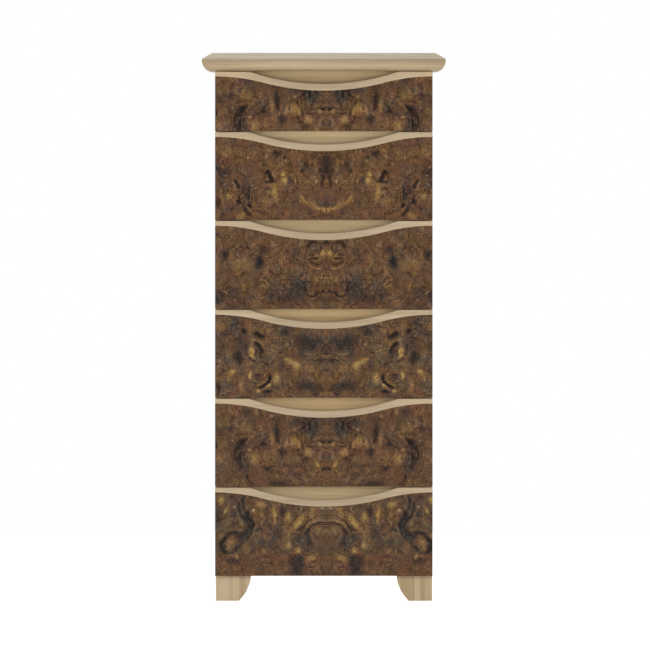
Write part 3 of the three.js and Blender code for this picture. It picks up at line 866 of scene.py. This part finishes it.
def piece(obj, body, slot, *nodes):
    """obj rides on body and stands for the CAD nodes, which it hides; slot is not used."""
    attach(obj, body)
    if nodes:
        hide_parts(*nodes)
    return obj


def skin(name, sections, material):
    """A closed solid through a row of equal-sized closed sections, capped at both ends."""
    count = len(sections[0])
    vertices = [point for section in sections for point in section]
    faces = [tuple(range(count)), tuple(range(len(vertices) - count, len(vertices)))]
    for s in range(len(sections) - 1):
        for i in range(count):
            j = (i + 1) % count
            faces.append((s * count + i, s * count + j, (s + 1) * count + j, (s + 1) * count + i))
    return mesh_object(name, vertices, faces, material)


def inner_outer(low, high, sign):
    """Which of two places along x is nearer the middle of the chest on a side, and which is farther."""
    return (high.x, low.x) if sign < 0 else (low.x, high.x)


def rectangle(x0, x1, y0, y1):
    return [(x0, y0), (x1, y0), (x1, y1), (x0, y1)]


def board(name, node, material, body, slot, width=EDGE):
    """A plain board that fills its CAD node's box."""
    low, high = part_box(node)
    ends = [[(x, y, z) for y, z in rectangle(low.y, high.y, low.z, high.z)] for x in (low.x, high.x)]
    obj = skin(name, ends, material)
    soften(obj, width)
    return piece(obj, body, slot, node)


def upright(name, outline, low, high, material, width=EDGE):
    """A prism whose (x, y) outline stands between two heights, with softened edges."""
    obj = skin(name, [[(x, y, z) for x, y in outline] for z in (low, high)], material)
    soften(obj, width)
    return obj


# ---- drawer fronts and lips

def dip(x, half_width, depth):
    """How far a circular dip reaches below its chord at x."""
    if abs(x) >= half_width:
        return 0.0
    radius = (half_width ** 2 + depth ** 2) / (2 * depth)
    return math.sqrt(radius ** 2 - x ** 2) - (radius - depth)


def lip_edge(x, half, top, end_depth, middle_depth):
    """Height of the curve between a lip and the front below it: two tangent arcs on each side."""
    turn = 2 * math.atan((middle_depth - end_depth) / half)
    middle_radius = LIP_TURNS_AT / math.sin(turn)
    end_radius = (half - LIP_TURNS_AT) / math.sin(turn)
    x = abs(x)
    if x < LIP_TURNS_AT:
        return top - middle_depth + middle_radius - math.sqrt(middle_radius ** 2 - x ** 2)
    return top - end_depth - end_radius + math.sqrt(end_radius ** 2 - (half - x) ** 2)


COLUMNS = 128


def columns(half):
    """Places along a front, with the corners of its curves among them."""
    even = [half * (2 * i / COLUMNS - 1) for i in range(COLUMNS + 1)]
    corners = [side * x for side in (-1, 1) for x in (FINGER_DIP[0], FINGER_COVE[0])]
    close = half / COLUMNS * 0.5
    kept = [x for x in even if all(abs(x - corner) > close for corner in corners)]
    return sorted(kept + corners)


LIP_ROUNDING = 1.6 * MM
LIP_ROUNDING_STEPS, COVE_STEPS = 3, 6
ON_CURVE, AT_END = 0.5 * MM, 0.1 * MM  # edges this near the curved joint or a lip's end belong to it


def lip_section(x, foot, top, face, back):
    """The lip's outline at x: up its face, over its rounded edge and down into the finger cove."""
    height = top - dip(x, *FINGER_DIP)
    cove = height - (top - dip(x, *FINGER_COVE))
    points = [(back, foot), (face, foot)]
    for step in range(LIP_ROUNDING_STEPS + 1):
        angle = step / LIP_ROUNDING_STEPS * math.pi / 2
        points.append((face + LIP_ROUNDING * (1 - math.cos(angle)),
                       height - LIP_ROUNDING * (1 - math.sin(angle))))
    for step in range(COVE_STEPS + 1):
        share = step / COVE_STEPS
        points.append((face + LIP_LAND + share * (back - face - LIP_LAND),
                       height - cove * math.sin(share * math.pi / 2)))
    return [(x, y, z) for y, z in points]


def make_front(number, veneer, ash):
    name = f"drawer_{number}"
    front_low, front_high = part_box(f"{name}_front")
    lip_low, lip_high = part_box(f"{name}_lip")
    half, top = front_high.x, lip_high.z
    face, back = front_low.y, front_high.y
    depths = (top - front_high.z, top - lip_low.z)

    def edge(x):
        return lip_edge(x, half, top, *depths)

    def off_joint(place):
        return abs(place.z - edge(place.x)) > ON_CURVE

    places = columns(half)
    panel = skin(f"{name}_veneered_front", [
        [(x, back, front_low.z), (x, face, front_low.z), (x, face, edge(x)), (x, back, edge(x))]
        for x in places], veneer)
    soften(panel, VENEER_EDGE, off_joint)
    piece(panel, name, "burl_veneer", f"{name}_front")
    lip = skin(f"{name}_grip_lip", [lip_section(x, edge(x), top, face, back) for x in places], ash)
    soften(lip, VENEER_EDGE, lambda place: abs(abs(place.x) - half) < AT_END and off_joint(place))
    piece(lip, name, "ash", f"{name}_lip")


# ---- top, feet and case

def rings(name, levels, material):
    """A solid through rectangles (x0, x1, y0, y1) at rising heights."""
    return skin(name, [[(x, y, z) for x, y in rectangle(*sides)] for z, sides in levels], material)


OVOLO_STEPS, FOOT_STEPS = 20, 24


def make_top(ash):
    low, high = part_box("top_board")
    profile = []
    for step in range(OVOLO_STEPS + 1):
        angle = step / OVOLO_STEPS * math.pi / 2
        profile.append((low.z + TOP_OVOLO[1] * (1 - math.cos(angle)), TOP_OVOLO[0] * (1 - math.sin(angle))))
    profile.append((high.z - TOP_CHAMFER[1], 0.0))
    profile.append((high.z, TOP_CHAMFER[0]))
    top = rings("top_board_moulded", [
        (z, (low.x + inset, high.x - inset, low.y + inset, high.y)) for z, inset in profile], ash)
    soften(top)
    piece(top, "case", "ash", "top_board")


def make_foot(node, end, side, wood):
    """A foot that stands upright outside; its inner sides lean in towards the floor, in an arc."""
    low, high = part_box(node)
    levels = []
    for step in range(FOOT_STEPS + 1):
        z = high.z * step / FOOT_STEPS
        inset = FOOT_CURVE - math.sqrt(FOOT_CURVE ** 2 - (high.z - z) ** 2)
        x0, x1 = (low.x, high.x - inset) if side == "left" else (low.x + inset, high.x)
        y0, y1 = (low.y, high.y - inset) if end == "front" else (low.y + inset, high.y)
        levels.append((z, (x0, x1, y0, y1)))
    foot = rings(f"{node}_shaped", levels, wood)
    soften(foot, FOOT_EDGE)
    piece(foot, "case", "ash", node)


BACK_REST = 0.6 * MM  # the back board stays this far inside the case's edge, and so do the screw heads


def make_sides(ash):
    """Side boards, each with a rabbet along its back edge that holds the back board."""
    outer_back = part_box("top_board")[1].y
    back_low, back_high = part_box("back_panel")
    for side, sign in SIDES:
        low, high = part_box(f"side_panel_{side}")
        inner, outer = inner_outer(low, high, sign)
        rabbet = back_high.x if sign > 0 else back_low.x
        outline = [(outer, low.y), (outer, outer_back), (rabbet, outer_back),
                   (rabbet, back_low.y), (inner, back_low.y), (inner, low.y)]
        panel = upright(f"side_board_{side}", outline, low.z, high.z, ash)
        piece(panel, "case", "ash", f"side_panel_{side}")


def make_back(ply):
    low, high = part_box("back_panel")
    outline = rectangle(low.x, high.x, low.y, high.y - BACK_REST)
    back = upright("back_board", outline, low.z, high.z, ply, PLY_EDGE)
    piece(back, "case", "plywood", "back_panel")


def make_case(ash, rail_woods, top_rail_painted_shade_wood, birch, ply):
    make_sides(ash)
    board("bottom_board", "bottom_panel", ash, "case", "ash")
    make_back(ply)
    board("top_rail_board", "top_rail", top_rail_painted_shade_wood, "case", "ash")
    for number in DIVIDER_RAILS:
        board(f"divider_rail_board_{number}", f"divider_rail_{number}", rail_woods[number], "case", "ash")
    for node in ["top_frame"] + [f"runner_frame_{number}" for number in DIVIDER_RAILS]:
        make_runner_frame(node, birch)


RUNNER_WIDTH = 22 * MM


def make_runner_frame(node, wood):
    """Two runners along the sides and a rail across their back ends, butted and glued."""
    low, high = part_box(node)
    left, right = low.x + RUNNER_WIDTH, high.x - RUNNER_WIDTH
    for name, sides in (("runner_left", (low.x, left, low.y, high.y)),
                        ("runner_right", (right, high.x, low.y, high.y)),
                        ("cross_rail", (left, right, high.y - RUNNER_WIDTH, high.y))):
        stick = upright(f"{node}_{name}", rectangle(*sides), low.z, high.z, wood)
        piece(stick, "case", "birch", node)


BOX_GROOVE = (6 * MM, 8 * MM, 6 * MM)  # depth, height above the side's lower edge, width


def make_box(number, along, across, ply):
    """A drawer's birch box, with its floor held in grooves of its sides."""
    name = f"drawer_{number}"
    groove, rise, width = BOX_GROOVE
    for side, sign in SIDES:
        low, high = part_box(f"{name}_side_{side}")
        inner, outer = inner_outer(low, high, sign)
        floor = low.z + rise
        outline = [(outer, low.z), (outer, high.z), (inner, high.z), (inner, floor + width),
                   (inner + sign * groove, floor + width), (inner + sign * groove, floor),
                   (inner, floor), (inner, low.z)]
        ends = [[(x, y, z) for x, z in outline] for y in (low.y, high.y)]
        plank = skin(f"{name}_box_side_{side}", ends, along)
        soften(plank)
        piece(plank, name, "birch", f"{name}_side_{side}")
    board(f"{name}_box_back", f"{name}_back", across, name, "birch")
    board(f"{name}_box_floor", f"{name}_floor", ply, name, "plywood", THIN_PLY_EDGE)


# ---- screws and bumpers

def turned_solid(profile, count=20):
    """Vertices and faces of a turned shape along +Y; the profile is (radius, y) from axis to axis."""
    vertices = [(0, profile[0][1], 0)]
    for radius, y in profile[1:-1]:
        for i in range(count):
            angle = 2 * math.pi * i / count
            vertices.append((radius * math.cos(angle), y, radius * math.sin(angle)))
    vertices.append((0, profile[-1][1], 0))
    faces = []
    for i in range(count):
        j = (i + 1) % count
        faces.append((0, 1 + i, 1 + j))
        for ring in range(len(profile) - 3):
            a, b = 1 + ring * count, 1 + (ring + 1) * count
            faces.append((a + i, b + i, b + j, a + j))
        last = 1 + (len(profile) - 3) * count
        faces.append((last + i, len(vertices) - 1, last + j))
    return vertices, faces


def scatter(name, shape, places, material):
    """One object made of copies of a shape."""
    vertices, faces = [], []
    for x, y, z in places:
        start = len(vertices)
        vertices += [(x + a, y + b, z + c) for a, b, c in shape[0]]
        faces += [tuple(start + i for i in face) for face in shape[1]]
    obj = mesh_object(name, vertices, faces, material)
    for polygon in obj.data.polygons:
        polygon.use_smooth = True
    obj.data.set_sharp_from_angle(angle=SHARP)
    return obj


SCREW_INSET, SCREW_ROWS, SCREW_COLUMNS = 9 * MM, 9, 4
# A screw head from its buried side outwards, in millimetres: radius, and height over the board
SCREW_HEAD = [(0, -1.5), (3.4, -1.5), (3.6, 0), (3.0, 0.35), (1.6, 0.52), (0, 0.55)]
RECESS_REACH, RECESS_HALF_WIDTH = 2.0 * MM, 0.5 * MM
RECESS_FLOOR, RECESS_MOUTH = 0.15 * MM, 1.0 * MM  # how high over the board the cross recess is cut


def make_back_screws(metal):
    low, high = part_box("back_panel")
    face = high.y - BACK_REST
    head = turned_solid([(radius * MM, face + height * MM) for radius, height in SCREW_HEAD])
    x_low, x_high = low.x + SCREW_INSET, high.x - SCREW_INSET
    z_low, z_high = low.z + SCREW_INSET, high.z - SCREW_INSET
    heights = [z_low + (z_high - z_low) * i / (SCREW_ROWS - 1) for i in range(SCREW_ROWS)]
    places = [(x, 0, z) for x in (x_low, x_high) for z in heights]
    places += [(x_low + (x_high - x_low) * i / SCREW_COLUMNS, 0, z)
               for i in range(1, SCREW_COLUMNS) for z in (z_low, z_high)]
    screws = scatter("back_screws", head, places, metal)
    cross = cross_shape(RECESS_REACH, RECESS_HALF_WIDTH, face + RECESS_FLOOR, face + RECESS_MOUTH)
    cross_cutter = scatter("cross_cutter", cross, places, metal)
    cut = screws.modifiers.new("cross recess", "BOOLEAN")
    cut.operation = "DIFFERENCE"
    cut.object = cross_cutter
    freeze(screws)
    bpy.data.objects.remove(cross_cutter)
    piece(screws, "case", None)


def cross_shape(reach, half_width, low, high):
    """A plus-shaped prism along Y."""
    w, r = half_width, reach
    outline = [(r, -w), (r, w), (w, w), (w, r), (-w, r), (-w, w),
               (-r, w), (-r, -w), (-w, -w), (-w, -r), (w, -r), (w, -w)]
    count = len(outline)
    vertices = [(x, y, z) for y in (low, high) for x, z in outline]
    faces = [tuple(range(count)), tuple(range(count, 2 * count))]
    faces += [(i, (i + 1) % count, count + (i + 1) % count, count + i) for i in range(count)]
    return vertices, faces


def freeze(obj):
    """Applies an object's modifiers to its mesh."""
    depsgraph = bpy.context.evaluated_depsgraph_get()
    mesh = bpy.data.meshes.new_from_object(obj.evaluated_get(depsgraph))
    obj.modifiers.clear()
    obj.data = mesh


BUMPER = (4 * MM, 1.6 * MM)  # radius and thickness
BUMPER_RIM = (0.9, 0.8)  # the shares of them at which its rim starts to slope
BUMPER_DROP = 24 * MM  # below a drawer's top edge


def make_bumpers(material):
    """Felt dots on the case's front edges, where the backs of the drawer fronts meet them."""
    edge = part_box("side_panel_left")[0].y
    radius, thickness = BUMPER
    dot = turned_solid([(0, edge), (radius, edge), (radius, edge - thickness * BUMPER_RIM[1]),
                        (radius * BUMPER_RIM[0], edge - thickness), (0, edge - thickness)])
    places = []
    for side, _ in SIDES:
        low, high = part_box(f"side_panel_{side}")
        for number in DRAWERS:
            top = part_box(f"drawer_{number}_lip")[1].z
            places.append(((low.x + high.x) / 2, 0, top - BUMPER_DROP))
    piece(scatter("felt_bumpers", dot, places, material), "case", None)


# ---- build

# The pale and the dark colour of each wood
ASH = (srgb(191, 171, 139), srgb(157, 134, 100))
LIP = (srgb(211, 188, 155), srgb(181, 157, 123))
FOOT = (srgb(217, 195, 159), srgb(178, 153, 116))
# The right feet's wood is the foot wood made darker: painted shade for the side that gets less light
FOOT_PAINTED_SHADE = (srgb(213, 191, 152), srgb(175, 150, 112))
RAIL = (srgb(215, 190, 144), srgb(186, 158, 113))
# Rails 3 and 4: browner wood, and a little darker, which is painted shade
BROWN_RAIL_WITH_PAINTED_SHADE = (srgb(209, 178, 128), srgb(180, 147, 98))
# The top rail's wood is the rail wood made darker: painted shade under the overhang of the top
TOP_RAIL_PAINTED_SHADE = (srgb(197, 171, 125), srgb(168, 140, 99))
BIRCH = (srgb(206, 186, 150), srgb(178, 153, 115))
PLY = (srgb(206, 182, 142), srgb(172, 142, 100))

BOLD, FAINT, FAINTEST = 2.1, 1.2, 0.7  # contrast of the figure
LIP_PAINTED_SHADE = (220 * MM, 0.84)  # painted shade: from here towards the middle of a lip the wood darkens to this share
FOOT_STAVE = 58 * MM
DRY = 0.55  # roughness of unlacquered wood

make_camera()
make_world()
make_stage()
for light_name, (place, target, size, watts) in LIGHTS.items():
    make_light(light_name, place, target, size, watts)

ash_top = solid_wood("ash, grain across", "x", *ASH, seed=0.3, contrast=BOLD)
# The lips' wood carries painted shade that darkens it towards the middle
ash_lip = solid_wood("ash lip", "x", *LIP, seed=0.5, contrast=FAINT, painted_shade=LIP_PAINTED_SHADE)
ash_rail = solid_wood("ash rail", "x", *RAIL, seed=0.9, contrast=BOLD)
# browner rail wood, darkened a little with painted shade
ash_brown_rail_painted_shade = solid_wood("ash rail, browner, painted shade", "x", *BROWN_RAIL_WITH_PAINTED_SHADE, seed=0.7, contrast=BOLD)
rail_woods = {1: ash_rail, 2: ash_rail, 3: ash_brown_rail_painted_shade, 4: ash_brown_rail_painted_shade, 5: ash_rail}
# painted shade: the top rail's wood is darkened for the shade under the top
ash_top_rail_painted_shade = solid_wood("ash top rail, painted shade", "x", *TOP_RAIL_PAINTED_SHADE, seed=1.1, contrast=BOLD)
ash_side = solid_wood("ash, grain upright", "z", *FOOT, seed=1.4)
ash_feet = {
    "left": solid_wood("ash foot", "z", *FOOT, seed=1.9, contrast=BOLD, stave=FOOT_STAVE),
    # painted shade: the right feet get the darker copy of the foot wood
    "right": solid_wood("ash foot, painted shade", "z", *FOOT_PAINTED_SHADE, seed=2.3, contrast=BOLD, stave=FOOT_STAVE),
}
birch_y = solid_wood("birch, grain front to back", "y", *BIRCH, seed=2.1, contrast=FAINTEST, roughness=DRY)
birch_x = solid_wood("birch, grain across", "x", *BIRCH, seed=2.6, contrast=FAINTEST, roughness=DRY)
ply_back = plywood("birch plywood, upright", "z", *PLY, seed=0.4)
ply_floor = plywood("birch plywood, across", "x", *PLY, seed=1.1)

for number in DRAWERS:
    make_front(number, burl_veneer(number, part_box(f"drawer_{number}_lip")[1].z), ash_lip)
    make_box(number, birch_y, birch_x, ply_floor)
make_top(ash_top)
for end in ("front", "back"):
    for side, _ in SIDES:
        make_foot(f"foot_{end}_{side}", end, side, ash_feet[side])
make_case(ash_side, rail_woods, ash_top_rail_painted_shade, birch_y, ply_back)
make_back_screws(screw_metal())
make_bumpers(felt())

bpy.context.scene.view_settings.view_transform = "Standard"
